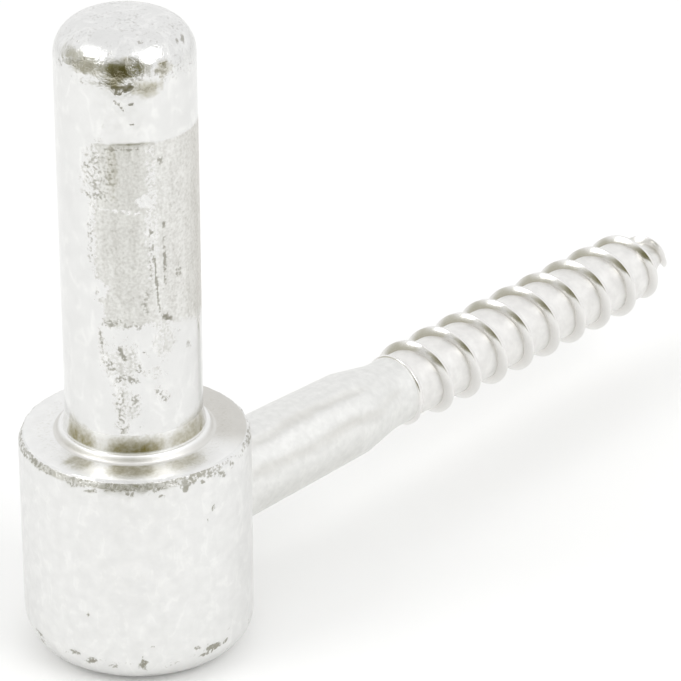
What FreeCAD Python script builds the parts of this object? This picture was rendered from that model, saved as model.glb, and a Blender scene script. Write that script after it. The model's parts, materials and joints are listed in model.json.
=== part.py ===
import FreeCAD, Part
import math
import os

# Gate hinge pin: an upright round pin on a round boss, with a lag screw standing out of the boss's side.
# It is one steel forging, so it is one solid. Sizes are in millimetres and degrees.
# The origin is on the pin's axis, at the boss's top face. +Z runs up the pin and +X along the lag screw.

# Pin that the gate's hinge eye turns on
PIN_DIAMETER = 19.0
PIN_HEIGHT = 60.8
PIN_END_ROUNDING = 5.0
CENTRE_MARK_DIAMETER = 2.4
CENTRE_MARK_DEPTH = 0.5

# Raised ring at the pin's foot, and the hollow flare that runs down to it
FLARE_WIDTH = 0.4
FLARE_HEIGHT = 1.6
FLARE_ROUNDING = 11.0
RING_WIDTH = 0.6
RING_HEIGHT = 1.1
RING_ROUNDING = 0.5

# Boss, with its foot well rounded
BOSS_DIAMETER = 32.2
BOSS_HEIGHT = 32.8
BOSS_RIM_CHAMFER = 0.5
BOSS_FOOT_ROUNDING = 5.7

# Forged shank that narrows to a neck, with a low round bead at the neck's end
SCREW_DROP = 15.1
SHANK_REACH = 43.4
SHANK_END_DIAMETER = 12.8
SHANK_DRAFT_ANGLE = 0.9
SHANK_ROOT_FILLET = 0.8
SHANK_ROUNDING = 9.0
NARROWING_LENGTH = 7.2
NECK_DIAMETER = 10.2
NECK_LENGTH = 3.7
BEAD_DIAMETER = 10.8
BEAD_WIDTH = 0.7
BEAD_ROUNDING = 0.2

# Core of the lag screw, from the bead to the blunt point
CORE_DIAMETER = 10.0
CORE_LENGTH = 53.7
POINT_LENGTH = 9.5
POINT_ROUNDING = 5.0
TIP_DIAMETER = 1.8
TIP_ROUNDING = 0.7

# Right-hand thread ridge with wide round roots, which ends in a small thin blade over the point
THREAD_DIAMETER = 12.5
THREAD_PITCH = 6.2
THREAD_START_ANGLE = 213.0
CREST_WIDTH = 0.5
FLANK_ANGLE = 22.0
RUN_IN_TURNS = 0.37
RUN_OUT_TURNS = 0.06
CREST_FALL_BEFORE_POINT = 3.5
CREST_FALL_SHORT_OF_TIP = 1.0
BLADE_DIAMETER = 5.0
BLADE_SHORT_OF_TIP = 0.6
BLADE_THICKNESS_SHARE = 0.42

# How deep the ridge's hidden feet and its hidden ends lie, as shares of the core's radius there
RIDGE_FOOT_SHARE = 0.86
RIDGE_END_SHARE = 0.93
SECTIONS_PER_TURN = 12

# Places along the lag screw, from the pin's axis
NECK_START = SHANK_REACH + NARROWING_LENGTH
NECK_END = NECK_START + NECK_LENGTH
POINT_START = NECK_END + CORE_LENGTH
POINT_END = POINT_START + POINT_LENGTH

ORIGIN = FreeCAD.Vector(0, 0, 0)
UP = FreeCAD.Vector(0, 0, 1)
SCREW_ORIGIN = FreeCAD.Vector(0, 0, -SCREW_DROP)
ALONG_SCREW = FreeCAD.Vector(1, 0, 0)


def unit(vector):
    return vector * (1 / vector.Length)


def rounded_corner(before, corner, after, radius):
    """Start, middle and end of the arc that rounds a corner, limited by its two sides."""
    back = before - corner
    ahead = after - corner
    half_angle = back.getAngle(ahead) / 2
    longest_reach = 0.95 * min(back.Length, ahead.Length)
    reach = min(radius / math.tan(half_angle), longest_reach)
    radius = reach * math.tan(half_angle)
    to_centre = unit(unit(back) + unit(ahead))
    centre = corner + to_centre * (radius / math.sin(half_angle))
    return corner + unit(back) * reach, centre - to_centre * radius, corner + unit(ahead) * reach


def turned(corners, base, axis, across):
    """A solid of revolution. Each corner of its half profile is (along the axis, radius, rounding)."""
    points = [base + axis * along + across * radius for along, radius, rounding in corners]
    edges = []
    last = points[0]
    for index in range(1, len(points)):
        rounding = corners[index][2]
        end = points[index]
        if rounding:
            end, middle, arc_end = rounded_corner(points[index - 1], end, points[index + 1], rounding)
        edges.append(Part.makeLine(last, end))
        last = end
        if rounding:
            edges.append(Part.Arc(end, middle, arc_end).toShape())
            last = arc_end
    edges.append(Part.makeLine(last, points[0]))
    return Part.Face(Part.Wire(edges)).revolve(base, axis, 360)


def upright():
    """Pin, raised ring and boss, turned about the pin's axis."""
    corners = [
        (-BOSS_HEIGHT, 0, 0),
        (-BOSS_HEIGHT, BOSS_DIAMETER / 2, BOSS_FOOT_ROUNDING),
        (-BOSS_RIM_CHAMFER, BOSS_DIAMETER / 2, 0),
        (0, BOSS_DIAMETER / 2 - BOSS_RIM_CHAMFER, 0),
        (0, PIN_DIAMETER / 2 + FLARE_WIDTH + RING_WIDTH, 0),
        (RING_HEIGHT, PIN_DIAMETER / 2 + FLARE_WIDTH + RING_WIDTH, RING_ROUNDING),
        (RING_HEIGHT, PIN_DIAMETER / 2 + FLARE_WIDTH, 0),
        (RING_HEIGHT + FLARE_HEIGHT, PIN_DIAMETER / 2, FLARE_ROUNDING),
        (PIN_HEIGHT, PIN_DIAMETER / 2, PIN_END_ROUNDING),
        (PIN_HEIGHT, CENTRE_MARK_DIAMETER / 2, 0),
        (PIN_HEIGHT - CENTRE_MARK_DEPTH, 0, 0),
    ]
    return turned(corners, ORIGIN, UP, ALONG_SCREW)


def shank_radius_at(along):
    return SHANK_END_DIAMETER / 2 + (SHANK_REACH - along) * math.tan(math.radians(SHANK_DRAFT_ANGLE))


def screw_core():
    """Shank, neck, thread root and point, turned about the lag screw's axis."""
    corners = [
        (0, 0, 0),
        (0, shank_radius_at(0), 0),
        (SHANK_REACH, SHANK_END_DIAMETER / 2, SHANK_ROUNDING),
        (NECK_START, NECK_DIAMETER / 2, SHANK_ROUNDING),
        (NECK_END - BEAD_WIDTH, NECK_DIAMETER / 2, 0),
        (NECK_END - BEAD_WIDTH, BEAD_DIAMETER / 2, BEAD_ROUNDING),
        (NECK_END, BEAD_DIAMETER / 2, BEAD_ROUNDING),
        (NECK_END, CORE_DIAMETER / 2, 0),
        (POINT_START, CORE_DIAMETER / 2, POINT_ROUNDING),
        (POINT_END, TIP_DIAMETER / 2, TIP_ROUNDING),
        (POINT_END, 0, 0),
    ]
    return turned(corners, SCREW_ORIGIN, ALONG_SCREW, UP)


def core_radius_at(along):
    """Radius of the screw's core under the thread."""
    share = min(1, max(0, (along - POINT_START) / POINT_LENGTH))
    return CORE_DIAMETER / 2 + share * (TIP_DIAMETER - CORE_DIAMETER) / 2


def crest_radius_at(along, turns_from_start, turns_to_end):
    """Radius of the ridge's crest, which rises out of the bead and falls away, rounded, to the blade."""
    hidden = RIDGE_END_SHARE * core_radius_at(along)
    fall_length = CREST_FALL_BEFORE_POINT + POINT_LENGTH - CREST_FALL_SHORT_OF_TIP
    fall = min(1, max(0, along - POINT_START + CREST_FALL_BEFORE_POINT) / fall_length)
    full = max(hidden, BLADE_DIAMETER / 2, THREAD_DIAMETER / 2 * math.sqrt(1 - fall * fall))
    rise = min(1, turns_from_start / RUN_IN_TURNS, turns_to_end / RUN_OUT_TURNS)
    return hidden + rise * (full - hidden)


def ridge_section(along, turns_from_start, turns_to_end):
    """The ridge cut by a plane through the screw's axis: foot, crest, crest and foot."""
    angle = math.radians(THREAD_START_ANGLE) + 2 * math.pi * (along - NECK_END) / THREAD_PITCH
    outward = FreeCAD.Vector(0, math.cos(angle), math.sin(angle))
    crest = crest_radius_at(along, turns_from_start, turns_to_end)
    on_point = min(1, max(0, (along - POINT_START) / (POINT_LENGTH - BLADE_SHORT_OF_TIP)))
    thickness = 1 - on_point * (1 - BLADE_THICKNESS_SHARE)
    crest_offset = thickness * CREST_WIDTH / 2
    ridge_height = THREAD_DIAMETER / 2 - RIDGE_FOOT_SHARE * CORE_DIAMETER / 2
    foot_offset = crest_offset + thickness * ridge_height * math.tan(math.radians(FLANK_ANGLE))
    shape = [
        (-foot_offset, RIDGE_FOOT_SHARE * core_radius_at(along - foot_offset)),
        (-crest_offset, crest),
        (crest_offset, crest),
        (foot_offset, RIDGE_FOOT_SHARE * core_radius_at(along + foot_offset)),
    ]
    return [SCREW_ORIGIN + ALONG_SCREW * (along + offset) + outward * radius for offset, radius in shape]


def thread_ridge():
    """The helical ridge, made of ruled strips a turn long, with a flat cap at each end."""
    start = NECK_END - RUN_IN_TURNS * THREAD_PITCH / 2
    turns = (POINT_END - BLADE_SHORT_OF_TIP - start) / THREAD_PITCH
    count = math.ceil(turns * SECTIONS_PER_TURN)
    passed = [turns * index / count for index in range(count + 1)]
    sections = [ridge_section(start + THREAD_PITCH * t, t, turns - t) for t in passed]
    curves = []
    for line in zip(*sections):
        curve = Part.BSplineCurve()
        curve.interpolate(list(line), Parameters=passed)
        curves.append(curve)
    faces = []
    for first in range(0, count, SECTIONS_PER_TURN):
        last = min(count, first + SECTIONS_PER_TURN)
        edges = []
        for curve in curves:
            stretch = curve.copy()
            stretch.segment(passed[first], passed[last])
            edges.append(stretch.toShape())
        faces += [Part.makeRuledSurface(edges[i - 1], edges[i]) for i in range(len(edges))]
    for section in (sections[0], sections[-1]):
        faces.append(Part.Face(Part.makePolygon(section + section[:1])))
    shell = Part.Shell(faces)
    shell.sewShape()
    ridge = Part.Solid(shell)
    if ridge.Volume < 0:
        ridge.reverse()
    return ridge


def shank_root_edges(shape):
    """The edges where the shank leaves the boss's side."""
    found = []
    for edge in shape.Edges:
        middle = edge.valueAt((edge.FirstParameter + edge.LastParameter) / 2)
        from_pin_axis = math.hypot(middle.x, middle.y)
        from_screw_axis = math.hypot(middle.y, middle.z + SCREW_DROP)
        on_boss = math.isclose(from_pin_axis, BOSS_DIAMETER / 2, abs_tol=0.001)
        on_shank = math.isclose(from_screw_axis, shank_radius_at(middle.x), abs_tol=0.001)
        if on_boss and on_shank:
            found.append(edge)
    return found


def hinge_pin():
    forging = upright().fuse(screw_core())
    forging = forging.makeFillet(SHANK_ROOT_FILLET, shank_root_edges(forging))
    return forging.fuse(thread_ridge())


os.makedirs("parts", exist_ok=True)
hinge_pin().exportStep("parts/hinge_pin.step")
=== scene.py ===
import json
import math
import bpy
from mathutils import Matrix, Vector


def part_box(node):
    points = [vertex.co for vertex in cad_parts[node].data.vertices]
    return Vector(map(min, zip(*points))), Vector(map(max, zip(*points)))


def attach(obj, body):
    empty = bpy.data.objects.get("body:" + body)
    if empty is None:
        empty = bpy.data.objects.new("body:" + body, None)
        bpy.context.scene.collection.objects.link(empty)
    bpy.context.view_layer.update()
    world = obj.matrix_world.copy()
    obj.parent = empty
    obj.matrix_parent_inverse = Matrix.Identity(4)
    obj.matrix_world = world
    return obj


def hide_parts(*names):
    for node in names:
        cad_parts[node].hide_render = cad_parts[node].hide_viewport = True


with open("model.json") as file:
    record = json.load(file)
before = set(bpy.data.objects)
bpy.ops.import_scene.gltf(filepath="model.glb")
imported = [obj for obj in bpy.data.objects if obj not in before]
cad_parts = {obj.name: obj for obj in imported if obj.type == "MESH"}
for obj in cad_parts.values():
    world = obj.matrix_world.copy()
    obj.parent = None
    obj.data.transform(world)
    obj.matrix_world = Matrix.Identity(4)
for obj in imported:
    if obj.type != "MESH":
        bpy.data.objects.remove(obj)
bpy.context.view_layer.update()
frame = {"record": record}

from types import SimpleNamespace

import bpy
import numpy as np
from mathutils import Matrix, Vector, noise

# A gate hinge pin: one steel forging, part turned, with a rolled lag thread, and zinc plated all over.
# Sizes are in millimetres and degrees until a mesh is written, and then in metres.
MM = 0.001

# Sizes that the frame and its mounts give
low, high = (np.array(corner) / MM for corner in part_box("hinge_pin"))
mounts = {mount["name"]: mount for mount in frame["record"]["mounts"]}
PIN_RADIUS = mounts["pin"]["dims"]["r_mm"]
PIN_TOP = high[2]
BOSS_RADIUS = -low[0]
BOSS_FOOT = low[2]
NECK_END, _, SCREW_HEIGHT = (place / MM for place in mounts["lag_screw"]["pos_m"])
POINT_END = high[0]

# Upright pin and boss
PIN_END_ROUNDING = 5.0
CENTRE_MARK_RADIUS = 1.2
CENTRE_MARK_DEPTH = 0.5
CENTRE_MARK_ROUNDING = 0.2
RING_FOOT_RADIUS = 10.9
RING_FILLET = 0.7
RING_RADIUS = 10.3
RING_TOP = 1.1
RING_ROUNDING = 0.4
FLARE_RADIUS = 9.9
FLARE_TOP = 2.7
FLARE_ROUNDING = 11.0
FOOT_ROUNDING = 5.7

# Worn rim of the boss: its face falls away a little, and then its edge is knocked down
RIM_FALL_RADIUS = 14.8
RIM_FALL = 0.16
RIM_FALL_ROUNDING = 2.0
RIM_EDGE_ROUNDING = 0.25
RIM_WEAR_IN = 0.38
RIM_WEAR_DROP = 1.1
RIM_WEAR_ROUNDING = 0.8

# Shank, neck, screw core and point
SHANK_REACH = 43.4
SHANK_END_RADIUS = 6.4
SHANK_DRAFT_ANGLE = 0.9
SHANK_ROUNDING = 9.0
SHANK_ROOT_FILLET = 0.9
NECK_START = 50.6
NECK_RADIUS = 5.1
BEAD_WIDTH = 0.7
BEAD_TOP_WIDTH = 0.56
BEAD_RADIUS = 5.4
BEAD_ROUNDING = 0.2
BEAD_FILLET = 0.1
CORE_RADIUS = 5.0
POINT_START = 108.0
POINT_ROUNDING = 5.0
TIP_RADIUS = 0.9
TIP_ROUNDING = 0.7

# Right-hand thread ridge, which ends in a small blade over the point
CREST_RADIUS = 6.25
THREAD_PITCH = 6.2
THREAD_START_ANGLE = 213.0
RUN_IN_TURNS = 0.37
RUN_OUT_TURNS = 0.06
CREST_FALL_START = 104.5
CREST_FALL_LENGTH = 12.0
BLADE_RADIUS = 2.5
BLADE_END = 116.9
SLIM_START = 111.0
SLIM_SHARE = 0.42
RIDGE_FOOT_SHARE = 0.86
RIDGE_END_SHARE = 0.93
FLANK_ANGLE = 21.0
# Half of the crest, which is flat with broken edges: distance from its middle line, and drop below its top
CREST_SHAPE = [(0.0, 0.0), (0.2, 0.0), (0.28, 0.07)]

# Fineness of the meshes
UPRIGHT_COLUMNS = 240
SCREW_COLUMNS = 96
WALL_SPACING = 0.49
ARC_SPACING = 0.34
MIN_ARC_STEPS = 4
SHARP_EDGE_ANGLE = 30.0
SECTIONS_PER_TURN = 64
ROOT_FILLET_ROUNDS = 6

# How far a point has to be past a form's edge to count as on the next form
SCREW_CLEARANCE = 0.05
PIN_CLEARANCE = 0.1
FACE_CLEARANCE = 0.02
RIM_CLEARANCE = 0.1

# Lumps of the noise that roughens the forms: size across, and an offset that keeps the noises apart
COARSE_LUMPS = (7.0, 0.0)
MIDDLING_LUMPS = (2.2, 5.0)
FINE_LUMPS = (0.9, 9.0)

# Lumps on each kind of surface: their height, and how far their noise is sunk, so that most of them cut in
FORGED_COARSE = (0.04, 1.0)
FORGED_MIDDLING = (0.02, 0.0)
SKIN_LUMPS = (0.012, 0.0)
END_MIDDLING = (0.02, 0.6)
END_FINE = (0.015, 0.6)
RIM_MIDDLING = (0.12, 0.8)
RIM_FINE = (0.02, 0.5)

# A sector round the pin: middle angle, angle off it where the sector ends, angle off it where it is full
# The boss's foot stands out on the photograph's right, and is flatter on its left
FOOT_BULGE_SECTOR = (-48, 90, 10)
FOOT_BULGE = 0.35
FOOT_FLAT_SECTOR = (132, 60, 10)
FOOT_FLAT = 0.2

# The pin's end was turned a little thinner down to a step, and below it a patch of forged skin was left
STEP_SECTOR = (-80, 110, 40)
STEP_HEIGHT = 46.6
STEP_WIDTH = 0.2
STEP_DEPTH = 0.05
SKIN_LEFT = -163.0
SKIN_RIGHT = -25.0
SKIN_BOTTOM = 20.2
SKIN_SLANT_START = -100
SKIN_SLANT_PER_DEGREE = 0.045
SKIN_TOP_SHARPNESS = 8
SKIN_EDGE_RAGGED = 0.6
SKIN_EDGE_WIDTH = 2.4

# In these lists a mark is (angle round the wall, height, width, length, lean, strength from 0 to 1)
# Bare places in the skin patch, where the tool did touch
SKIN_GAPS = [
    (-116, 36.0, 2.6, 24.0, 0, 0.5),
    (-121, 38.3, 3.4, 2.2, 0, 0.7),
    (-165, 42.0, 3.0, 9.0, 0, 0.7),
    (-141, 37.0, 7.5, 0.7, -4, 0.6),
    (-157, 25.4, 2.4, 2.6, 20, 0.7),
    (-163, 21.5, 2.4, 4.0, 0, 0.7),
]

# Dull scuffs on the turned wall round the patch
SCUFFS = [
    (-163, 42.0, 5.0, 11.0, 0, 0.52),
    (-143, 14.6, 6.6, 8.0, 0, 0.55),
    (-144, 8.0, 3.4, 10.0, 0, 0.52),
    (-134, 8.4, 2.6, 4.6, -10, 0.52),
    (-107, 17.4, 4.0, 6.4, 0, 0.55),
    (-160, 17.5, 1.6, 7.0, 6, 0.52),
    (-110, 9.4, 2.0, 4.4, 35, 0.5),
    (-118, 13.0, 5.0, 2.4, -15, 0.46),
]

PIN_MARKS = [
    # Scratches and pits in the forged skin
    (-113.7, 27.5, 0.4, 14.0, 4, 0.74),
    (-105.8, 29.0, 0.35, 12.0, 0, 0.72),
    (-105.8, 34.6, 0.8, 0.8, 0, 0.8),
    (-104.5, 20.8, 2.2, 0.8, -35, 0.95),
    (-93, 27.2, 1.3, 2.4, 20, 0.56),
    (-108, 44.0, 1.0, 1.0, 0, 0.66),
    (-123, 23.5, 1.2, 4.0, 0, 0.5),
    (-118, 30.0, 0.6, 12.0, 0, 0.46),
    (-141, 46.0, 5.5, 0.9, 0, 0.55),
    # Its ragged left edge
    (-158, 42.0, 4.6, 10.0, 0, 0.43),
    (-148, 43.4, 1.2, 8.0, 0, 0.45),
    (-161, 38.9, 4.0, 1.6, 0, 0.52),
    (-170, 43.2, 1.4, 1.4, 0, 0.54),
    (-168, 32.0, 1.4, 9.0, 0, 0.46),
    (-152, 20.6, 4.0, 1.4, 20, 0.54),
    (-133, 20.2, 3.4, 1.2, -10, 0.5),
    (-163, 25.0, 1.0, 1.6, 0, 0.55),
    # Scuffs under the patch
    (-160, 17.5, 0.7, 6.0, 6, 0.54),
    (-143.5, 16.3, 0.9, 3.0, 28, 0.7),
    (-153, 14.2, 1.6, 3.6, 35, 0.52),
    (-146, 12.3, 1.4, 1.8, 30, 0.53),
    (-136, 12.2, 3.6, 1.1, -20, 0.55),
    (-129, 13.6, 1.2, 2.8, -10, 0.5),
    (-126, 16.2, 0.8, 1.0, 0, 0.55),
    (-144.5, 7.4, 2.0, 8.5, 0, 0.43),
    (-134, 8.8, 1.6, 3.0, -10, 0.46),
    (-110, 9.4, 1.2, 3.4, 35, 0.53),
    (-81, 15.4, 1.4, 2.2, 0, 0.5),
    (-93, 18.2, 0.8, 0.7, 0, 0.58),
    (-130, 5.0, 0.8, 0.8, 0, 0.5),
    # Specks on the turned end, and flaked plating on its rounding
    (-153, 49.3, 0.8, 0.7, 0, 0.7),
    (-140, 52.2, 0.6, 2.4, 45, 0.62),
    (-131, 52.5, 0.9, 0.6, 0, 0.7),
    (-131, 49.6, 0.9, 0.6, 0, 0.55),
    (-150, 55.6, 4.4, 1.0, 8, 0.52),
    (-124, 56.2, 2.4, 1.8, 0, 0.5),
    (-104, 56.4, 2.6, 1.8, 0, 0.54),
    (-177, 57.4, 4.6, 1.6, 0, 0.5),
    (163, 56.6, 2.2, 1.6, 0, 0.5),
    (-69, 59.0, 2.2, 0.7, 20, 0.66),
    (-78, 59.2, 1.0, 0.6, 0, 0.66),
    (-117, 60.0, 1.6, 0.5, 0, 0.55),
]

# Black nicks at the edge of the flaked plating
END_CHIPS = [
    (-138, 55.0, 3.2, 0.6, 8, 0.85),
    (-132.5, 54.6, 1.8, 0.7, 20, 0.95),
    (-142, 54.1, 1.0, 0.6, 10, 0.85),
    (-138.5, 53.9, 0.7, 0.5, 0, 0.8),
    (-102, 57.4, 1.4, 0.6, 0, 0.6),
]

# Brown and grey stains on the pin
PIN_STAINS = [
    (-147, 43.0, 1.8, 9.0, 0, 0.28),
    (-140, 56.4, 2.8, 4.4, -30, 0.75),
    (-118, 54.4, 4.2, 2.4, 0, 0.55),
    (-102, 56.8, 2.6, 2.0, 0, 0.5),
    (-168, 57.0, 5.0, 2.0, 0, 0.42),
]

# Dents in the rounded end of the pin
END_DENTS = [
    (-117, 54.8, 3.2, 2.2, 0, 0.8),
    (-104, 56.4, 2.4, 2.6, 0, 1.0),
    (-128, 57.6, 2.0, 2.0, 0, 0.7),
    (-143, 56.2, 2.6, 2.6, 0, 0.7),
    (-164, 56.6, 2.4, 3.0, 0, 0.7),
    (-180, 57.2, 2.4, 2.4, 0, 0.6),
]

BOSS_MARKS = [
    # Pits in its side
    (-94, -6.3, 0.9, 1.8, -15, 0.66),
    (-98, -7.8, 1.0, 0.9, 0, 0.66),
    (-161, -21.2, 1.1, 1.1, 0, 0.7),
    (-128, -25.5, 1.1, 0.7, 0, 0.6),
    (-84, -26.7, 1.0, 0.8, 0, 0.56),
    # Chips out of its foot
    (-133, -28.4, 1.3, 3.2, 0, 0.68),
    (-160, -28.7, 2.2, 1.3, 35, 0.66),
    (-168, -27.8, 2.2, 0.9, 0, 0.6),
    (-148, -29.0, 1.4, 0.9, 0, 0.56),
    (-195, -27.9, 4.4, 0.9, 0, 0.56),
    (-105, -27.4, 2.0, 0.8, -15, 0.62),
    (-95, -28.2, 4.4, 1.8, -10, 0.66),
    (-101, -28.9, 2.2, 1.1, 0, 0.62),
    (-87, -28.4, 2.4, 1.1, 0, 0.6),
    # Chips out of its rim
    (-122, -2.2, 1.0, 1.0, 0, 0.62),
    (-110, -1.9, 1.8, 1.3, 20, 0.64),
    (-101, -1.5, 1.8, 0.8, 0, 0.62),
    (-87, -1.8, 2.4, 1.4, -15, 0.58),
    (-79, -1.3, 1.6, 1.0, 0, 0.56),
    (-157, -1.6, 2.6, 1.1, 0, 0.6),
    (-168, -1.4, 1.6, 1.0, 0, 0.56),
    (-138, -1.8, 1.4, 1.0, 0, 0.6),
    (-137, -0.9, 9.0, 1.1, 0, 0.5),
    (-125, -1.3, 3.0, 1.3, 10, 0.56),
    (-146, -1.1, 3.0, 1.1, 0, 0.54),
]

PIN_MARK_DEPTH = 0.012
END_DENT_DEPTH = 0.12
BOSS_MARK_DEPTH = 0.16

# An oval mark is gone at the first of these shares of its half size, and full at the second
MARK_FADE = (1.4, 0.5)
MARK_RAGGED = 0.5

# Where wear starts and where it is full: down from the pin's top, and down from the boss's face
END_WEAR = (8.0, 5.5)
RIM_WEAR = (1.9, 0.55)
# The same for chips in a band above the boss's foot, and for specks of painted shade out along the shank
# from the boss
FOOT_CHIP_TOP = (5.8, 4.4)
FOOT_CHIP_BOTTOM = (2.0, 3.0)
ROOT_SHADE_REACH = (2.8, 1.8)
# The rim is chipped down to this drop below the boss's face, which noise varies
RIM_CHIP_DROP = 1.3
RIM_CHIP_MIDDLING = 0.9
RIM_CHIP_FINE = 0.4
RIM_CHIP_FADE = 0.4
# Strength of the small marks, chips and specks of painted shade spread over a place, and how much noise
# varies it
SKIN_SPECKS = 0.26
END_FLAKES = (0.34, 0.12)
RIM_CHIPS = (0.49, 0.2)
FOOT_CHIPS = (0.3, 0.4)
ROOT_SHADE_SPECKS = (0.34, 0.3)

# Brown stain in the flare, and on the boss's face a painted reflection of it: angle round the pin, half its
# width in degrees, strength
FLARE_STAINS = [(-186, 22, 0.62), (-133, 29, 0.7), (-82, 32, 0.5)]
FLARE_STAIN_ALL_ROUND = 0.15
FLARE_STAIN_TOP = 6.2
FLARE_STAIN_FULL = 1.8
FLARE_STAIN_DIP_SECTOR = (-137, 60, 30)
FLARE_STAIN_DIP = 1.8
FLARE_STAIN_UNEVEN = 0.3
# On the boss's face: spots of painted reflection of the flare's stain, over a faint stain all round
FACE_REFLECTION_SPOTS = [(-173, 11, 0.38), (-138, 18, 0.5), (-101, 16, 0.3)]
FACE_STAIN_ALL_ROUND = 0.12
FACE_STAIN_AND_REFLECTION_RADII = (15.1, 12.9)
FACE_STAIN_AND_REFLECTION_UNEVEN = 0.4

# Forged creases along the shank: angle round it, start, end, width, depth
SHANK_CREASES = [
    (119, 19.5, 43.5, 1.1, 0.3),
    (159, 17.5, 45.5, 1.3, 0.3),
    (151, 45.0, 50.5, 1.2, 0.16),
    (204, 18.0, 40.0, 3.0, 0.1),
]
CREASE_FADE_IN = 2.0
CREASE_FADE_OUT = 1.5
CREASE_COARSE = 0.7
CREASE_MIDDLING = 0.3

# Plain grey shade: strength, and where it starts and is full
SKIN_SHADE = 0.3
SKIN_SHADE_START = -118
SKIN_SHADE_SWEEP = 60
RING_SHADE = 0.35
RING_SHADE_HEIGHTS = (0.8, 0.5)
FACE_SHADE = 0.5
FACE_SHADE_SECTOR = (-20, 56, 32)
CREASE_SHADE = 0.2
CREASE_SHADE_DEPTH = 0.2
CREASE_SHADE_UNEVEN = 0.5
RIDGE_SHADE = 0.3
RIDGE_SHADE_REACH = (1.3, 0.8)
RIDGE_SHADE_START = 1.0
RIDGE_SHADE_HEIGHT = 0.2

# How wrinkled the plating is
FACE_WRINKLE = 0.4
RIM_WRINKLE = 0.8
END_TOP_WRINKLE = 0.4
END_SIDE_WRINKLE = 0.6
END_SIDE_DROP = (1.0, 3.0)

# Layers of weathering, painted shade and painted reflection that the mesh carries to its finishes
LAYERS = ("skin", "mark", "chip", "stain", "shade", "wrinkle")


def smooth_step(value, start, end):
    share = np.clip((value - start) / (end - start), 0, 1)
    return share * share * (3 - 2 * share)


def grain(points, size, offset):
    """Smooth noise from -1 to 1 whose lumps are about the given size across."""
    return np.array([noise.noise(Vector(point)) for point in points / size + offset])


def rounded_profile(corners):
    """Points along a turned half profile. Each corner is (along the axis, radius, rounding)."""
    points = [np.array(corners[0][:2])]
    for index in range(1, len(corners)):
        corner, rounding = np.array(corners[index][:2]), corners[index][2]
        arc = [corner]
        if rounding:
            before = np.array(corners[index - 1][:2]) - corner
            after = np.array(corners[index + 1][:2]) - corner
            before /= np.linalg.norm(before)
            after /= np.linalg.norm(after)
            half_angle = math.acos(np.clip(before @ after, -1, 1)) / 2
            reach = rounding / math.tan(half_angle)
            middle = (before + after) / np.linalg.norm(before + after)
            centre = corner + middle * rounding / math.sin(half_angle)
            start, end = corner + before * reach - centre, corner + after * reach - centre
            sweep = math.pi - 2 * half_angle
            count = max(MIN_ARC_STEPS, math.ceil(rounding * sweep / ARC_SPACING))
            arc = []
            for step in range(count + 1):
                part = step / count
                weight = math.sin((1 - part) * sweep), math.sin(part * sweep)
                arc.append(centre + (start * weight[0] + end * weight[1]) / math.sin(sweep))
        run = arc[0] - points[-1]
        count = max(1, math.ceil(np.linalg.norm(run) / WALL_SPACING))
        points += [points[-1] + run * (step / count) for step in range(1, count)]
        points += arc
    return np.array(points)


def add_form(name, points, faces):
    mesh = bpy.data.meshes.new(name)
    mesh.from_pydata(points.tolist(), [], faces)
    form = bpy.data.objects.new(name, mesh)
    bpy.context.scene.collection.objects.link(form)
    return form


def turned_form(name, corners, columns, place):
    """A closed form of revolution whose first and last corner are on the axis."""
    profile = rounded_profile(corners)
    angles = np.linspace(0, 2 * math.pi, columns, endpoint=False)
    along, angle = np.meshgrid(profile[1:-1, 0], angles, indexing="ij")
    radius = np.repeat(profile[1:-1, 1:], columns, axis=1)
    rows = len(profile) - 2
    ends = [place(profile[end, 0], 0.0, 0.0) for end in (0, -1)]
    points = np.vstack([place(along, radius, angle).reshape(-1, 3), ends])
    faces = []
    for column in range(columns):
        after = (column + 1) % columns
        faces.append((rows * columns, after, column))
        faces.append((rows * columns + 1, (rows - 1) * columns + column, (rows - 1) * columns + after))
        for row in range(rows - 1):
            near, far = row * columns, (row + 1) * columns
            faces.append((near + column, near + after, far + after, far + column))
    return add_form(name, points, faces)


def about_pin(along, radius, angle):
    across, deep = radius * np.cos(angle), radius * np.sin(angle)
    return np.stack(np.broadcast_arrays(across, deep, along), axis=-1)


def about_screw(along, radius, angle):
    across, rise = radius * np.cos(angle), radius * np.sin(angle)
    return np.stack(np.broadcast_arrays(along, across, SCREW_HEIGHT + rise), axis=-1)


def upright_form():
    corners = [
        (BOSS_FOOT, 0, 0),
        (BOSS_FOOT, BOSS_RADIUS, FOOT_ROUNDING),
        (-RIM_WEAR_DROP, BOSS_RADIUS, RIM_WEAR_ROUNDING),
        (-RIM_FALL, BOSS_RADIUS - RIM_WEAR_IN, RIM_EDGE_ROUNDING),
        (0, RIM_FALL_RADIUS, RIM_FALL_ROUNDING),
        (0, RING_FOOT_RADIUS, RING_FILLET),
        (RING_TOP, RING_RADIUS, RING_ROUNDING),
        (RING_TOP, FLARE_RADIUS, 0),
        (FLARE_TOP, PIN_RADIUS, FLARE_ROUNDING),
        (STEP_HEIGHT - STEP_WIDTH / 2, PIN_RADIUS, 0),
        (STEP_HEIGHT + STEP_WIDTH / 2, PIN_RADIUS, 0),
        (PIN_TOP, PIN_RADIUS, PIN_END_ROUNDING),
        (PIN_TOP, CENTRE_MARK_RADIUS, CENTRE_MARK_ROUNDING),
        (PIN_TOP - CENTRE_MARK_DEPTH, 0, 0),
    ]
    return turned_form("upright", corners, UPRIGHT_COLUMNS, about_pin)


def shank_radius_at(along):
    return SHANK_END_RADIUS + (SHANK_REACH - along) * math.tan(math.radians(SHANK_DRAFT_ANGLE))


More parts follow.
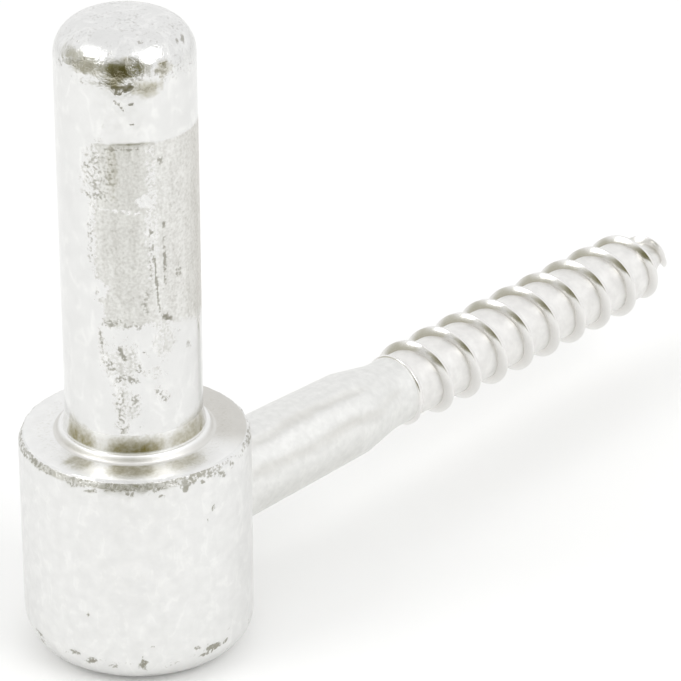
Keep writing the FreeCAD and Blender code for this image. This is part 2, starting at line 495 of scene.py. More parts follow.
def screw_form():
    corners = [
        (0, 0, 0),
        (0, shank_radius_at(0), 0),
        (SHANK_REACH, SHANK_END_RADIUS, SHANK_ROUNDING),
        (NECK_START, NECK_RADIUS, SHANK_ROUNDING),
        (NECK_END - BEAD_WIDTH, NECK_RADIUS, BEAD_FILLET),
        (NECK_END - BEAD_TOP_WIDTH, BEAD_RADIUS, BEAD_ROUNDING),
        (NECK_END, BEAD_RADIUS, BEAD_ROUNDING),
        (NECK_END, CORE_RADIUS, BEAD_FILLET),
        (POINT_START, CORE_RADIUS, POINT_ROUNDING),
        (POINT_END, TIP_RADIUS, TIP_ROUNDING),
        (POINT_END, 0, 0),
    ]
    return turned_form("screw", corners, SCREW_COLUMNS, about_screw)


def core_radius_at(along):
    share = np.clip((along - POINT_START) / (POINT_END - POINT_START), 0, 1)
    return CORE_RADIUS + share * (TIP_RADIUS - CORE_RADIUS)


def ridge_form():
    """The helical ridge, with soft crest edges and its feet inside the screw's core."""
    start = NECK_END - RUN_IN_TURNS * THREAD_PITCH / 2
    turns = (BLADE_END - start) / THREAD_PITCH
    count = math.ceil(turns * SECTIONS_PER_TURN)
    passed = np.linspace(0, turns, count + 1)
    along = start + THREAD_PITCH * passed
    angle = math.radians(THREAD_START_ANGLE) + 2 * math.pi * (along - NECK_END) / THREAD_PITCH
    hidden = RIDGE_END_SHARE * core_radius_at(along)
    fall = np.clip((along - CREST_FALL_START) / CREST_FALL_LENGTH, 0, 1)
    full = np.maximum(BLADE_RADIUS, CREST_RADIUS * np.sqrt(1 - fall * fall))
    rise = np.minimum(1, np.minimum(passed / RUN_IN_TURNS, (turns - passed) / RUN_OUT_TURNS))
    crest = hidden + rise * (full - hidden)
    slim = np.interp(along, (SLIM_START, BLADE_END), (1, SLIM_SHARE))
    edge_offset, edge_drop = CREST_SHAPE[-1]
    flank_height = CREST_RADIUS - edge_drop - RIDGE_FOOT_SHARE * CORE_RADIUS
    foot_offset = edge_offset + flank_height * math.tan(math.radians(FLANK_ANGLE))
    shape = [(-offset, drop) for offset, drop in reversed(CREST_SHAPE)] + CREST_SHAPE[1:]
    lines = [about_screw(along + slim * offset, crest - drop * rise, angle) for offset, drop in shape]
    feet = []
    for side in (-1, 1):
        foot = along + side * slim * foot_offset
        feet.append(about_screw(foot, RIDGE_FOOT_SHARE * core_radius_at(foot), angle))
    lines = [feet[0]] + lines + [feet[1]]
    points = np.stack(lines, axis=1).reshape(-1, 3)
    across = len(lines)
    last = count * across
    faces = [tuple(range(across)), tuple(range(last + across - 1, last - 1, -1))]
    for section in range(count):
        near, far = section * across, (section + 1) * across
        for line in range(across):
            after = (line + 1) % across
            faces.append((near + line, far + line, far + after, near + after))
    return add_form("ridge", points, faces)


def united(name, body, *others):
    """One watertight mesh from closed forms that run into each other."""
    for other in others:
        union = body.modifiers.new("union", "BOOLEAN")
        union.operation = "UNION"
        union.solver = "MANIFOLD"
        union.object = other
    evaluated = body.evaluated_get(bpy.context.evaluated_depsgraph_get())
    mesh = bpy.data.meshes.new_from_object(evaluated)
    mesh.name = name
    for form in (body, *others):
        bpy.data.objects.remove(form)
    return mesh


def read(mesh, what, collection="vertices"):
    values = np.empty(len(getattr(mesh, collection)) * 3)
    getattr(mesh, collection).foreach_get(what, values)
    return values.reshape(-1, 3)


def soften(points, mesh, chosen, rounds):
    """Evens out the chosen points, each towards the middle of its neighbours."""
    ends = np.array([edge.vertices[:] for edge in mesh.edges])
    ends = ends[chosen[ends].any(axis=1)]
    for _ in range(rounds):
        total, count = np.zeros_like(points), np.zeros(len(points))
        for near, far in (ends.T, ends.T[::-1]):
            np.add.at(total, near, points[far])
            np.add.at(count, near, 1)
        points[chosen] = total[chosen] / count[chosen][:, None]
    return points


def turn_from(angle, middle):
    """Angle in degrees from a middle direction, from -180 to 180."""
    return (np.degrees(angle) - middle + 180) % 360 - 180


def in_sector(angle, middle, end, full):
    """1 in a sector round the pin, which fades out to 0 at its ends."""
    return smooth_step(np.abs(turn_from(angle, middle)), end, full)


def around(angle, spots):
    """Strength of soft spots round the pin."""
    strength = np.zeros_like(angle)
    for middle, half_width, most in spots:
        strength = np.maximum(strength, most * in_sector(angle, middle, half_width, half_width / 2))
    return strength


def uneven(strength, grains):
    """A strength, given as its middle and its spread, that noise varies."""
    middle, spread = strength
    return middle + spread * grains


def lumpy(lumps, grains):
    """Rise and fall of the lumps that noise makes."""
    height, sunk = lumps
    return height * (grains - sunk)


def surveyed(mesh):
    """Each point's place, its angles, the form that it is on, and the noise there."""
    at = SimpleNamespace()
    points = read(mesh, "co")
    at.x, at.y, at.z = points.T
    at.pin_angle, at.pin_distance = np.arctan2(at.y, at.x), np.hypot(at.x, at.y)
    at.screw_angle = np.arctan2(at.z - SCREW_HEIGHT, at.y)
    at.coarse = grain(points, *COARSE_LUMPS)
    at.middling = grain(points, *MIDDLING_LUMPS)
    at.fine = grain(points, *FINE_LUMPS)

    at.on_screw = at.pin_distance > BOSS_RADIUS + SCREW_CLEARANCE
    at.on_shank = at.on_screw & (at.x < NECK_START)
    at.on_pin = (at.z > RING_TOP + PIN_CLEARANCE) & ~at.on_screw
    at.on_boss = (at.z < FACE_CLEARANCE) & ~at.on_screw
    at.on_ring = ~at.on_pin & ~at.on_boss & ~at.on_screw
    at.on_face = at.on_boss & (at.z > -RIM_CLEARANCE)
    outside = at.pin_distance > BOSS_RADIUS - FOOT_ROUNDING
    at.on_side = at.on_boss & outside & (at.z < -RIM_CLEARANCE)
    at.on_end = at.on_pin * smooth_step(PIN_TOP - at.z, *END_WEAR)
    at.on_foot = at.on_side * smooth_step(at.z - BOSS_FOOT, FOOT_ROUNDING, FOOT_ROUNDING / 2)
    at.near_rim = at.on_side * smooth_step(-at.z, *RIM_WEAR)
    return at


def marked(at, radius, marks):
    """Strength of the marks laid on a round wall, each an oval with a ragged edge."""
    strength = np.zeros_like(at.z)
    for middle, level, width, length, lean, most in marks:
        across = np.radians(turn_from(at.pin_angle, middle)) * radius
        along = at.z - level
        cos, sin = math.cos(math.radians(lean)), math.sin(math.radians(lean))
        far = np.hypot((across * cos + along * sin) / width, (along * cos - across * sin) / length) * 2
        strength = np.maximum(strength, most * smooth_step(far + MARK_RAGGED * at.fine, *MARK_FADE))
    return strength


def forged_skin(at):
    """Skin that the turning tool missed on the pin. It fades in from the edge of its patch."""
    slant = SKIN_SLANT_PER_DEGREE * np.maximum(0, turn_from(at.pin_angle, SKIN_SLANT_START))
    inwards = np.minimum.reduce([
        np.radians(turn_from(at.pin_angle, SKIN_LEFT)) * PIN_RADIUS,
        np.radians(-turn_from(at.pin_angle, SKIN_RIGHT)) * PIN_RADIUS,
        (STEP_HEIGHT - at.z) * SKIN_TOP_SHARPNESS,
        at.z - SKIN_BOTTOM + slant,
    ])
    skin = np.clip(0.5 + (inwards + SKIN_EDGE_RAGGED * at.middling) / SKIN_EDGE_WIDTH, 0, 1)
    skin *= 1 - marked(at, PIN_RADIUS, SKIN_GAPS)
    return at.on_pin * np.maximum(skin, marked(at, PIN_RADIUS, SCUFFS))


def shank_creases(at):
    """Depth of the creases that forging left along the shank, which wander a little."""
    depth = np.zeros_like(at.x)
    wander = CREASE_COARSE * at.coarse + CREASE_MIDDLING * at.middling
    for middle, start, end, width, deep in SHANK_CREASES:
        across = np.radians(turn_from(at.screw_angle, middle)) * SHANK_END_RADIUS + wander
        begun = smooth_step(at.x, start - CREASE_FADE_IN, start + CREASE_FADE_IN)
        ended = smooth_step(at.x, end + CREASE_FADE_OUT, end - CREASE_FADE_OUT)
        depth = np.maximum(depth, deep * begun * ended * smooth_step(np.abs(across), width, 0))
    return at.on_screw * depth


def relief(at, skin, creases, pin_marks, boss_marks):
    """How far each point stands out from the clean form."""
    forged = lumpy(FORGED_COARSE, at.coarse) + lumpy(FORGED_MIDDLING, at.middling)
    height = (at.on_side | at.on_shank) * forged - creases

    # The pin's end is thinner, dented and flaky
    above_step = smooth_step(at.z, STEP_HEIGHT - STEP_WIDTH / 2, STEP_HEIGHT + STEP_WIDTH / 2)
    height += skin * (lumpy(SKIN_LUMPS, at.middling) + lumpy(SKIN_LUMPS, at.fine))
    height -= at.on_pin * STEP_DEPTH * above_step * in_sector(at.pin_angle, *STEP_SECTOR)
    height += at.on_end * (lumpy(END_MIDDLING, at.middling) + lumpy(END_FINE, at.fine))
    height -= at.on_end * END_DENT_DEPTH * marked(at, PIN_RADIUS, END_DENTS)

    # The foot and the rim are not rounded evenly all round
    height += at.on_foot * FOOT_BULGE * in_sector(at.pin_angle, *FOOT_BULGE_SECTOR)
    height -= at.on_foot * FOOT_FLAT * in_sector(at.pin_angle, *FOOT_FLAT_SECTOR)
    height += at.near_rim * (lumpy(RIM_MIDDLING, at.middling) + lumpy(RIM_FINE, at.fine))
    return height - PIN_MARK_DEPTH * pin_marks - BOSS_MARK_DEPTH * boss_marks


def dark_chips_and_root_shade(at, boss_marks):
    """Chips through the plating: nicks and knocks along the rim and foot, and specks of painted shade round
    the shank's root.
    """
    worn_down_to = RIM_CHIP_MIDDLING * at.middling + RIM_CHIP_FINE * at.fine - RIM_CHIP_DROP
    on_rim = at.on_side * smooth_step(at.z - worn_down_to, -RIM_CHIP_FADE, RIM_CHIP_FADE)
    above_foot = at.z - BOSS_FOOT
    on_foot = smooth_step(above_foot, *FOOT_CHIP_TOP) * smooth_step(above_foot, *FOOT_CHIP_BOTTOM)
    # Painted shade: dark specks round the shank where it meets the boss
    on_root = at.on_screw * smooth_step(at.pin_distance - BOSS_RADIUS, *ROOT_SHADE_REACH)
    return np.maximum.reduce([
        at.on_pin * marked(at, PIN_RADIUS, END_CHIPS),
        boss_marks,
        on_rim * uneven(RIM_CHIPS, at.coarse),
        at.on_side * on_foot * uneven(FOOT_CHIPS, at.middling),
        on_root * uneven(ROOT_SHADE_SPECKS, at.middling),
    ])


def brown_stain_and_reflection(at):
    """Stain in the flare and on the pin, and on the boss's face a faint stain with a painted reflection of
    the flare's stain.
    """
    top = FLARE_STAIN_TOP - FLARE_STAIN_DIP * in_sector(at.pin_angle, *FLARE_STAIN_DIP_SECTOR)
    in_flare = at.on_pin * smooth_step(at.z, top, FLARE_STAIN_FULL)
    in_flare *= 1 + FLARE_STAIN_UNEVEN * at.fine
    # On the boss's face: a faint stain all round, and spots of painted reflection of the flare's stain
    near_ring = at.on_face * smooth_step(at.pin_distance, *FACE_STAIN_AND_REFLECTION_RADII)
    near_ring *= 1 + FACE_STAIN_AND_REFLECTION_UNEVEN * at.fine
    return np.maximum.reduce([
        in_flare * (FLARE_STAIN_ALL_ROUND + around(at.pin_angle, FLARE_STAINS)),
        near_ring * (FACE_STAIN_ALL_ROUND + around(at.pin_angle, FACE_REFLECTION_SPOTS)),
        at.on_pin * marked(at, PIN_RADIUS, PIN_STAINS),
    ])


def grey_shade(at, skin, creases):
    """Shade on the skin's far side, at the ring's foot, beside the shank, in creases and by the ridge."""
    turns = (np.degrees(at.screw_angle) - THREAD_START_ANGLE) / 360
    from_ridge = (at.x - NECK_END) / THREAD_PITCH - turns
    from_ridge = np.abs((from_ridge + 0.5) % 1 - 0.5) * THREAD_PITCH
    on_core = at.screw_distance < core_radius_at(at.x) + RIDGE_SHADE_HEIGHT
    on_core &= at.x > NECK_END + RIDGE_SHADE_START
    creased = np.clip(creases / CREASE_SHADE_DEPTH, 0, 1) * (1 + CREASE_SHADE_UNEVEN * at.coarse)
    return np.maximum.reduce([
        SKIN_SHADE * skin * smooth_step(turn_from(at.pin_angle, SKIN_SHADE_START), 0, SKIN_SHADE_SWEEP),
        RING_SHADE * at.on_ring * smooth_step(at.z, *RING_SHADE_HEIGHTS),
        FACE_SHADE * at.on_face * in_sector(at.pin_angle, *FACE_SHADE_SECTOR),
        CREASE_SHADE * creased,
        RIDGE_SHADE * on_core * smooth_step(from_ridge, *RIDGE_SHADE_REACH),
    ])


def wrinkled(at):
    """How wrinkled the plating is, most of all on the rim and down the side of the pin's end."""
    end = END_TOP_WRINKLE + END_SIDE_WRINKLE * smooth_step(PIN_TOP - at.z, *END_SIDE_DROP)
    return FACE_WRINKLE * at.on_face + RIM_WRINKLE * at.near_rim + at.on_end * end


def weathered(mesh):
    """Moves the points to what forging, turning and knocks made of the clean form, and notes each layer of
    wear, painted shade and painted reflection.
    """
    at = surveyed(mesh)
    skin = forged_skin(at)
    creases = shank_creases(at)
    pin_marks = at.on_pin * marked(at, PIN_RADIUS, PIN_MARKS)
    boss_marks = at.on_side * marked(at, BOSS_RADIUS, BOSS_MARKS)
    flakes = at.on_end * uneven(END_FLAKES, at.middling)
    marks = np.maximum.reduce([pin_marks, skin * SKIN_SPECKS, flakes])
    chips_and_root_shade = dark_chips_and_root_shade(at, boss_marks)

    # From here on the places are those of the moved points, which are then softened at the shank's root
    height = relief(at, skin, creases, pin_marks, boss_marks)
    points = read(mesh, "co") + read(mesh, "normal") * height[:, None]
    at.x, at.y, at.z = points.T
    at.screw_distance = np.hypot(at.y, at.z - SCREW_HEIGHT)
    at_root = (np.abs(at.pin_distance - BOSS_RADIUS) < SHANK_ROOT_FILLET) & (at.x > 0)
    at_root &= np.abs(at.screw_distance - shank_radius_at(BOSS_RADIUS)) < SHANK_ROOT_FILLET
    points = soften(points, mesh, at_root, ROOT_FILLET_ROUNDS)
    mesh.vertices.foreach_set("co", (np.clip(points, low, high) * MM).ravel())

    layers = (skin, marks, chips_and_root_shade, brown_stain_and_reflection(at), grey_shade(at, skin, creases), wrinkled(at))
    for name, values in zip(LAYERS, layers):
        layer = mesh.attributes.new(name, "FLOAT", "POINT")
        layer.data.foreach_set("value", values.astype(np.float32))


# Finishes, in the order of the mesh's material slots
TURNED, FACED, FORGED, HAMMERED, ROLLED, ROLLED_CREST = range(6)
# The faced finish goes up the flare to this height, and the crest's starts this far out from the core
FACED_TOP = 3.7
CREST_HEIGHT = 0.15


def set_finishes(mesh, materials):
    """Each face takes the finish of the place it is in."""
    mesh.materials.clear()
    for material in materials:
        mesh.materials.append(material)
    x, y, z = (read(mesh, "center", "polygons") / MM).T
    on_screw = np.hypot(x, y) > BOSS_RADIUS + RIM_CLEARANCE
    on_thread = on_screw & (x > NECK_END - BEAD_WIDTH)
    on_crest = on_thread & (np.hypot(y, z - SCREW_HEIGHT) > core_radius_at(x) + CREST_HEIGHT)
    places = [on_crest, on_thread, on_screw, z < -RIM_FALL, z < FACED_TOP]
    finish = np.select(places, [ROLLED_CREST, ROLLED, HAMMERED, FORGED, FACED], TURNED)
    mesh.polygons.foreach_set("material_index", finish.astype(np.int32))


def linear(code):
    """A colour's sRGB hex code as linear light."""
    values = [int(code[place:place + 2], 16) / 255 for place in (1, 3, 5)]
    return [v / 12.92 if v <= 0.04045 else ((v + 0.055) / 1.055) ** 2.4 for v in values] + [1.0]


def add(tree, kind, inputs, **settings):
    """Adds a node. An input that is another node's socket is linked, and any other is set."""
    node = tree.nodes.new(kind)
    for name, value in settings.items():
        setattr(node, name, value)
    for key, value in inputs.items():
        if isinstance(value, bpy.types.NodeSocket):
            tree.links.new(value, node.inputs[key])
        else:
            node.inputs[key].default_value = value
    return node


def per_metre(size):
    """Pattern scale whose cells are the given number of millimetres across."""
    return 1 / (size * MM)


# A mix node's sockets go by number, because their names repeat: its share, two values and two colours,
# and the colour that comes out
SHARE, VALUE_A, VALUE_B, COLOUR_A, COLOUR_B = 0, 2, 3, 6, 7
MIXED_COLOUR = 2

# Patterns that all finishes share: size of their cells, and how far some are drawn out upwards
FLECK_SIZE = 0.42
WRINKLE_SIZE = 1.6
STREAK_SIZE = 1.0
STREAK_DRAWN_OUT = 10
VEIN_SIZE = 3.6
VEIN_DRAWN_OUT = 2
# Depth of the wrinkles and pits in the plating
WRINKLE_DEPTH = 0.12
PIT_DEPTH = 0.04

# The flecks eat into the layers by this much, and into the stain and painted reflection by a share of it.
# These levels are then where a layer starts and where it is full
FLECK_BITE = 1.1
STAIN_AND_REFLECTION_BITE = 0.5
SKIN_LEVELS = (0.38, 0.62)
PIT_LEVELS = (0.42, 0.6)
STAIN_AND_REFLECTION_LEVELS = (0.12, 1.05)

# Levels of the patterns: veins lie about the first, in patches, and then the mottle of the skin and the grit
VEIN_LEVEL = 0.5
VEIN_HALF_WIDTH = 0.045
VEIN_PATCH_LEVELS = (0.42, 0.56)
STREAK_SHARE = 0.5
MOTTLE_LEVELS = (0.5, 0.95)
GRIT_LEVELS = (0.3, 0.7)

# Colours and roughness of what lies on the plating, and of painted shade and reflection
SKIN_COLOURS = ("#D0CFCB", "#EDEDEB")
VEIN_COLOUR = "#F8F8F6"
SHADE_COLOUR = "#B0ABA0"
STAIN_AND_REFLECTION_COLOUR = "#867C46"
MARK_COLOUR = "#8A877A"
CHIP_AND_ROOT_SHADE_COLOUR = "#645E3A"
SKIN_ROUGHNESS = 0.45
PIT_ROUGHNESS = 0.55


def plating_patterns(tree, cloud_size, grit_size):
    """Cloudy plating, the grit of the steel under it, fine flecks, wrinkles, streaks and veins."""
    place = add(tree, "ShaderNodeTexCoord", {}).outputs["Object"]
    drawn, long = (
        add(tree, "ShaderNodeVectorMath", {0: place, 1: (1, 1, 1 / factor)}, operation="MULTIPLY").outputs[0]
        for factor in (STREAK_DRAWN_OUT, VEIN_DRAWN_OUT)
    )
    pattern = SimpleNamespace()
    for name, where, size, detail, bend in (
        ("cloud", place, cloud_size, 6.0, 0.0),
        ("grit", place, grit_size, 4.0, 0.0),
        ("flecks", place, FLECK_SIZE, 5.0, 0.0),
        ("wrinkles", place, WRINKLE_SIZE, 5.0, 0.6),
        ("streaks", drawn, STREAK_SIZE, 4.0, 0.0),
        ("veins", long, VEIN_SIZE, 6.0, 0.5),
    ):
        setattr(pattern, name, add(tree, "ShaderNodeTexNoise", {
            "Vector": where, "Scale": per_metre(size), "Detail": detail, "Distortion": bend,
        }).outputs["Fac"])
    return pattern


def worn_layers(tree, pattern):
    """The mesh's layers. Flecks eat into them, so that skin ends raggedly and a mark breaks up into pits."""
    layer = SimpleNamespace()
    for name in LAYERS:
        setattr(layer, name, add(tree, "ShaderNodeAttribute", {}, attribute_name=name).outputs["Fac"])
    eaten = add(tree, "ShaderNodeMath", {
        0: pattern.flecks, 1: -FLECK_BITE, 2: FLECK_BITE / 2,
    }, operation="MULTIPLY_ADD").outputs[0]
    for name, bite, levels, fainter_where_weak in (
        ("skin", 1.0, SKIN_LEVELS, False),
        ("stain", STAIN_AND_REFLECTION_BITE, STAIN_AND_REFLECTION_LEVELS, False),
        ("mark", 1.0, PIT_LEVELS, True),
        ("chip", 1.0, PIT_LEVELS, True),
    ):
        whole = getattr(layer, name)
        worn = add(tree, "ShaderNodeMath", {
            0: eaten, 1: bite, 2: whole,
        }, operation="MULTIPLY_ADD").outputs[0]
        worn = add(tree, "ShaderNodeMapRange", {
            "Value": worn, "From Min": levels[0], "From Max": levels[1],
        }).outputs[0]
        if fainter_where_weak:
            worn = add(tree, "ShaderNodeMath", {0: worn, 1: whole}, operation="MULTIPLY").outputs[0]
        setattr(layer, name, worn)
    return layer


def plating_colour(tree, pattern, layer, colours, veining):
    """Cloudy plating with dull mottled skin on it, pale veins in patches, and then painted shade, stain with
    painted reflection, and pits, with painted shade at the shank's root.
    """
    vein = add(tree, "ShaderNodeMath", {0: pattern.veins, 1: VEIN_LEVEL}, operation="SUBTRACT").outputs[0]
    vein = add(tree, "ShaderNodeMath", {0: vein}, operation="ABSOLUTE").outputs[0]
    vein = add(tree, "ShaderNodeMapRange", {
        "Value": vein, "From Min": VEIN_HALF_WIDTH, "From Max": 0.0, "To Max": veining,
    }).outputs[0]
    patches = add(tree, "ShaderNodeMapRange", {
        "Value": pattern.cloud, "From Min": VEIN_PATCH_LEVELS[0], "From Max": VEIN_PATCH_LEVELS[1],
    }).outputs[0]
    vein = add(tree, "ShaderNodeMath", {0: vein, 1: patches}, operation="MULTIPLY").outputs[0]
    mottle = add(tree, "ShaderNodeMath", {
        0: pattern.streaks, 1: STREAK_SHARE, 2: pattern.flecks,
    }, operation="MULTIPLY_ADD").outputs[0]
    mottle = add(tree, "ShaderNodeMapRange", {
        "Value": mottle, "From Min": MOTTLE_LEVELS[0], "From Max": MOTTLE_LEVELS[1],
    }).outputs[0]

    clean, dull = (
        add(tree, "ShaderNodeMix", {
            SHARE: share, COLOUR_A: linear(darker), COLOUR_B: linear(paler),
        }, data_type="RGBA").outputs[MIXED_COLOUR]
        for share, (darker, paler) in ((pattern.cloud, colours), (mottle, SKIN_COLOURS))
    )
    tone = clean
    for share, colour in (
        (layer.skin, dull),
        (vein, linear(VEIN_COLOUR)),
        (layer.shade, linear(SHADE_COLOUR)),
        (layer.stain, linear(STAIN_AND_REFLECTION_COLOUR)),
        (layer.mark, linear(MARK_COLOUR)),
        (layer.chip, linear(CHIP_AND_ROOT_SHADE_COLOUR)),
    ):
        tone = add(tree, "ShaderNodeMix", {
            SHARE: share, COLOUR_A: tone, COLOUR_B: colour,
        }, data_type="RGBA").outputs[MIXED_COLOUR]
    return tone


def zinc_plate(name, colours, cloud_size, roughness, grit_size, grit_depth, veining):
    """Bright zinc over steel: a pale metal with faint veins, dull skin, stains and dark nicks, and painted
    shade and reflection.
    """
    material = bpy.data.materials.new(name)
    material.use_nodes = True
    tree = material.node_tree
    tree.nodes.clear()
    pattern = plating_patterns(tree, cloud_size, grit_size)
    layer = worn_layers(tree, pattern)

    rough = add(tree, "ShaderNodeMapRange", {
        "Value": pattern.grit, "From Min": GRIT_LEVELS[0], "From Max": GRIT_LEVELS[1],
        "To Min": roughness[0], "To Max": roughness[1],
    }).outputs[0]
    duller = ((layer.skin, SKIN_ROUGHNESS), (layer.mark, PIT_ROUGHNESS), (layer.chip, PIT_ROUGHNESS))
    for share, value in duller:
        rough = add(tree, "ShaderNodeMix", {
            SHARE: share, VALUE_A: rough, VALUE_B: value,
        }, data_type="FLOAT").outputs[0]

    bumps = add(tree, "ShaderNodeBump", {"Height": pattern.grit, "Distance": grit_depth * MM}).outputs[0]
    bumps = add(tree, "ShaderNodeBump", {
        "Height": pattern.wrinkles, "Distance": WRINKLE_DEPTH * MM,
        "Strength": layer.wrinkle, "Normal": bumps,
    }).outputs[0]
    # Marks and chips dent the plating, and so do the specks of painted shade at the shank's root
    for pits_and_root_shade in (layer.mark, layer.chip):
        bumps = add(tree, "ShaderNodeBump", {
            "Height": pits_and_root_shade, "Distance": PIT_DEPTH * MM, "Normal": bumps,
        }, invert=True).outputs[0]

    metal = add(tree, "ShaderNodeBsdfPrincipled", {
        "Base Color": plating_colour(tree, pattern, layer, colours, veining),
        "Metallic": 1.0, "Roughness": rough, "Normal": bumps,
    })
    add(tree, "ShaderNodeOutputMaterial", {"Surface": metal.outputs[0]})
    return material


# The forging
mesh = united("hinge_pin_forging", upright_form(), screw_form(), ridge_form())
weathered(mesh)
mesh.shade_smooth()
mesh.set_sharp_from_angle(angle=math.radians(SHARP_EDGE_ANGLE))
set_finishes(mesh, [
    # Turned plate is smooth and mirrors the room
    zinc_plate(
        "turned_zinc_plate", colours=("#DDDDDC", "#EBEBEA"), cloud_size=3.0,
        roughness=(0.14, 0.24), grit_size=1.0, grit_depth=0.006, veining=0.4,
    ),
    # Faced plate is paler and duller, with fine tool marks
    zinc_plate(
        "faced_zinc_plate", colours=("#E8E8E7", "#F5F5F4"), cloud_size=2.0,
        roughness=(0.36, 0.5), grit_size=0.5, grit_depth=0.014, veining=0.3,
    ),
    # Forged plate is a little dull, with pale veins
    zinc_plate(
        "forged_zinc_plate", colours=("#DEDEDD", "#F0F0EF"), cloud_size=1.8,
        roughness=(0.28, 0.42), grit_size=0.8, grit_depth=0.02, veining=0.3,
    ),
    # Hammered plate is mottled and dull, with shallow dimples
    zinc_plate(
        "hammered_zinc_plate", colours=("#DDDDDB", "#F1F1EF"), cloud_size=1.1,
        roughness=(0.4, 0.52), grit_size=1.6, grit_depth=0.05, veining=0.2,
    ),
    # Rolled plate is dull and even between the ridges
    zinc_plate(
        "rolled_zinc_plate", colours=("#DFDEDC", "#F8F7F5"), cloud_size=1.4,
        roughness=(0.44, 0.54), grit_size=1.2, grit_depth=0.02, veining=0.2,
    ),
    # The dies pressed the crests smooth, so they shine
    zinc_plate(
        "rolled_crest_zinc_plate", colours=("#E6E5E3", "#F0EFED"), cloud_size=1.4,
        roughness=(0.16, 0.24), grit_size=1.2, grit_depth=0.008, veining=0.0,
    ),
])

forging = bpy.data.objects.new("hinge_pin_forging", mesh)
bpy.context.scene.collection.objects.link(forging)
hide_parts("hinge_pin")
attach(forging, "root")

# Camera: turned, tipped and set back as in the photograph
VIEW_AZIMUTH = math.radians(-47.69)
VIEW_ELEVATION = math.radians(26.975)
VIEW_OFFSET = (28.297, 11.882, 543.14)
FOCAL_PIXELS = 3949.5
FRAME_PIXELS = 681
SENSOR_WIDTH = 36
# Nearest and farthest that the camera sees, in metres
NEAREST, FARTHEST = 0.01, 20
right = Vector((math.cos(VIEW_AZIMUTH), math.sin(VIEW_AZIMUTH), 0))
back = Vector((
    math.sin(VIEW_AZIMUTH) * math.cos(VIEW_ELEVATION),
    -math.cos(VIEW_AZIMUTH) * math.cos(VIEW_ELEVATION),
    math.sin(VIEW_ELEVATION),
))
up = back.cross(right)
lens = bpy.data.cameras.new("camera")
lens.sensor_width = SENSOR_WIDTH
lens.lens = FOCAL_PIXELS / FRAME_PIXELS * SENSOR_WIDTH
lens.clip_start, lens.clip_end = NEAREST, FARTHEST
camera = bpy.data.objects.new("camera", lens)
bpy.context.scene.collection.objects.link(camera)
location = (right * VIEW_OFFSET[0] + up * VIEW_OFFSET[1] + back * VIEW_OFFSET[2]) * MM
camera.matrix_world = Matrix.Translation(location) @ Matrix((right, up, back)).transposed().to_4x4()
bpy.context.scene.camera = camera

# Plain pale floor, which ends not far in front of the boss, in metres
FLOOR_FRONT = 0.28
FLOOR_REACH = 1.5
forward = Vector((-back.x, -back.y, 0)).normalized()
floor_corners = []
for across, ahead in ((-1, -FLOOR_FRONT), (1, -FLOOR_FRONT), (1, FLOOR_REACH), (-1, FLOOR_REACH)):
    corner = right * across * FLOOR_REACH + forward * ahead
    floor_corners.append((corner.x, corner.y, BOSS_FOOT * MM))
floor = add_form("floor", np.array(floor_corners), [(0, 1, 2, 3)])

# Matt white paper scatters light evenly and has no gloss
PAPER_COLOUR = "#FBFBFA"
PAPER_ROUGHNESS = 0.9
paper = bpy.data.materials.new("matt_white_paper")
paper.use_nodes = True
sheet = paper.node_tree.nodes["Principled BSDF"].inputs
sheet["Base Color"].default_value = linear(PAPER_COLOUR)
sheet["Roughness"].default_value = PAPER_ROUGHNESS
sheet["Specular IOR Level"].default_value = 0.0
floor.data.materials.append(paper)

# White studio. Metal sees an unlit room behind the camera and to its left, darkest where the camera stands
ROOM_LIGHT = 0.88
ROOM_COLOUR = "#C4C2B4"
ROOM_TURN = -35
ROOM_SIDES = (0.0, 0.45)
ROOM_TOP = (0.55, 0.3)
CAMERA_COLOUR = "#6A663A"
CAMERA_RISE = 0.12
CAMERA_ANGLES = (38, 8)
world = bpy.data.worlds.new("studio")
bpy.context.scene.world = world
world.use_nodes = True
tree = world.node_tree
tree.nodes.clear()
direction = add(tree, "ShaderNodeTexCoord", {}).outputs["Generated"]
path = add(tree, "ShaderNodeLightPath", {}).outputs
rise = add(tree, "ShaderNodeSeparateXYZ", {0: direction}).outputs["Z"]
room_side = Matrix.Rotation(math.radians(ROOM_TURN), 3, "Z") @ -forward
camera_side = (-forward + Vector((0, 0, CAMERA_RISE))).normalized()
front, near = (
    add(tree, "ShaderNodeVectorMath", {0: direction, 1: side}, operation="DOT_PRODUCT").outputs["Value"]
    for side in (room_side, camera_side)
)
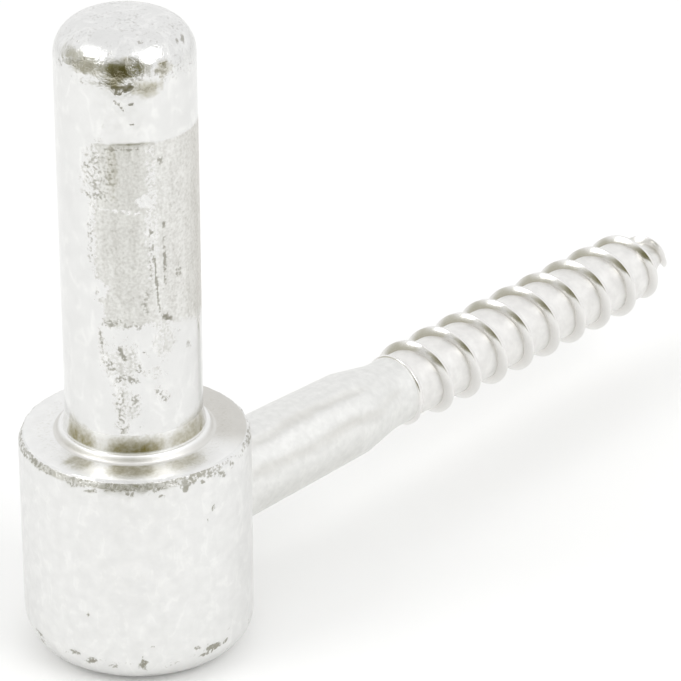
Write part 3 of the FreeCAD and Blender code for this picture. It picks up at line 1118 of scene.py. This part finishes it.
front, below, near = (
    add(tree, "ShaderNodeMapRange", {
        "Value": value, "From Min": start, "From Max": end,
    }, interpolation_type="SMOOTHSTEP").outputs[0]
    for value, (start, end) in (
        (front, ROOM_SIDES),
        (rise, ROOM_TOP),
        (near, [math.cos(math.radians(angle)) for angle in CAMERA_ANGLES]),
    )
)
room = add(tree, "ShaderNodeMath", {0: front, 1: below}, operation="MULTIPLY").outputs[0]
seen = white = linear("#FFFFFF")
for share, colour in ((room, ROOM_COLOUR), (near, CAMERA_COLOUR)):
    seen = add(tree, "ShaderNodeMix", {
        SHARE: share, COLOUR_A: seen, COLOUR_B: linear(colour),
    }, data_type="RGBA").outputs[MIXED_COLOUR]
glossy = path["Is Glossy Ray"]
seen = add(tree, "ShaderNodeMix", {
    SHARE: glossy, COLOUR_A: white, COLOUR_B: seen,
}, data_type="RGBA").outputs[MIXED_COLOUR]
shown = path["Is Camera Ray"]
for ray in (glossy, path["Is Transmission Ray"]):
    shown = add(tree, "ShaderNodeMath", {0: shown, 1: ray}, operation="MAXIMUM").outputs[0]
lighting = add(tree, "ShaderNodeBackground", {"Color": white, "Strength": ROOM_LIGHT}).outputs[0]
backdrop = add(tree, "ShaderNodeBackground", {"Color": seen, "Strength": 1.0}).outputs[0]
both = add(tree, "ShaderNodeMixShader", {0: shown, 1: lighting, 2: backdrop}).outputs[0]
add(tree, "ShaderNodeOutputWorld", {"Surface": both})

# Two soft boxes above the camera: name, turn from the camera's side, height angle, size in metres
SOFT_BOXES = [("soft_box_left", -62, 42, 0.42), ("soft_box_right", 53, 43, 0.48)]
SOFT_BOX_DISTANCE = 0.9
SOFT_BOX_POWER = 1.6
for name, turn, height, size in SOFT_BOXES:
    level = Matrix.Rotation(math.radians(turn), 3, "Z") @ -forward
    towards = level * math.cos(math.radians(height)) + Vector((0, 0, math.sin(math.radians(height))))
    lamp = bpy.data.lights.new(name, "AREA")
    lamp.size = size
    lamp.energy = SOFT_BOX_POWER
    box = bpy.data.objects.new(name, lamp)
    bpy.context.scene.collection.objects.link(box)
    box.location = towards * SOFT_BOX_DISTANCE
    box.rotation_euler = towards.to_track_quat("Z", "Y").to_euler()

bpy.context.scene.view_settings.view_transform = "Standard"
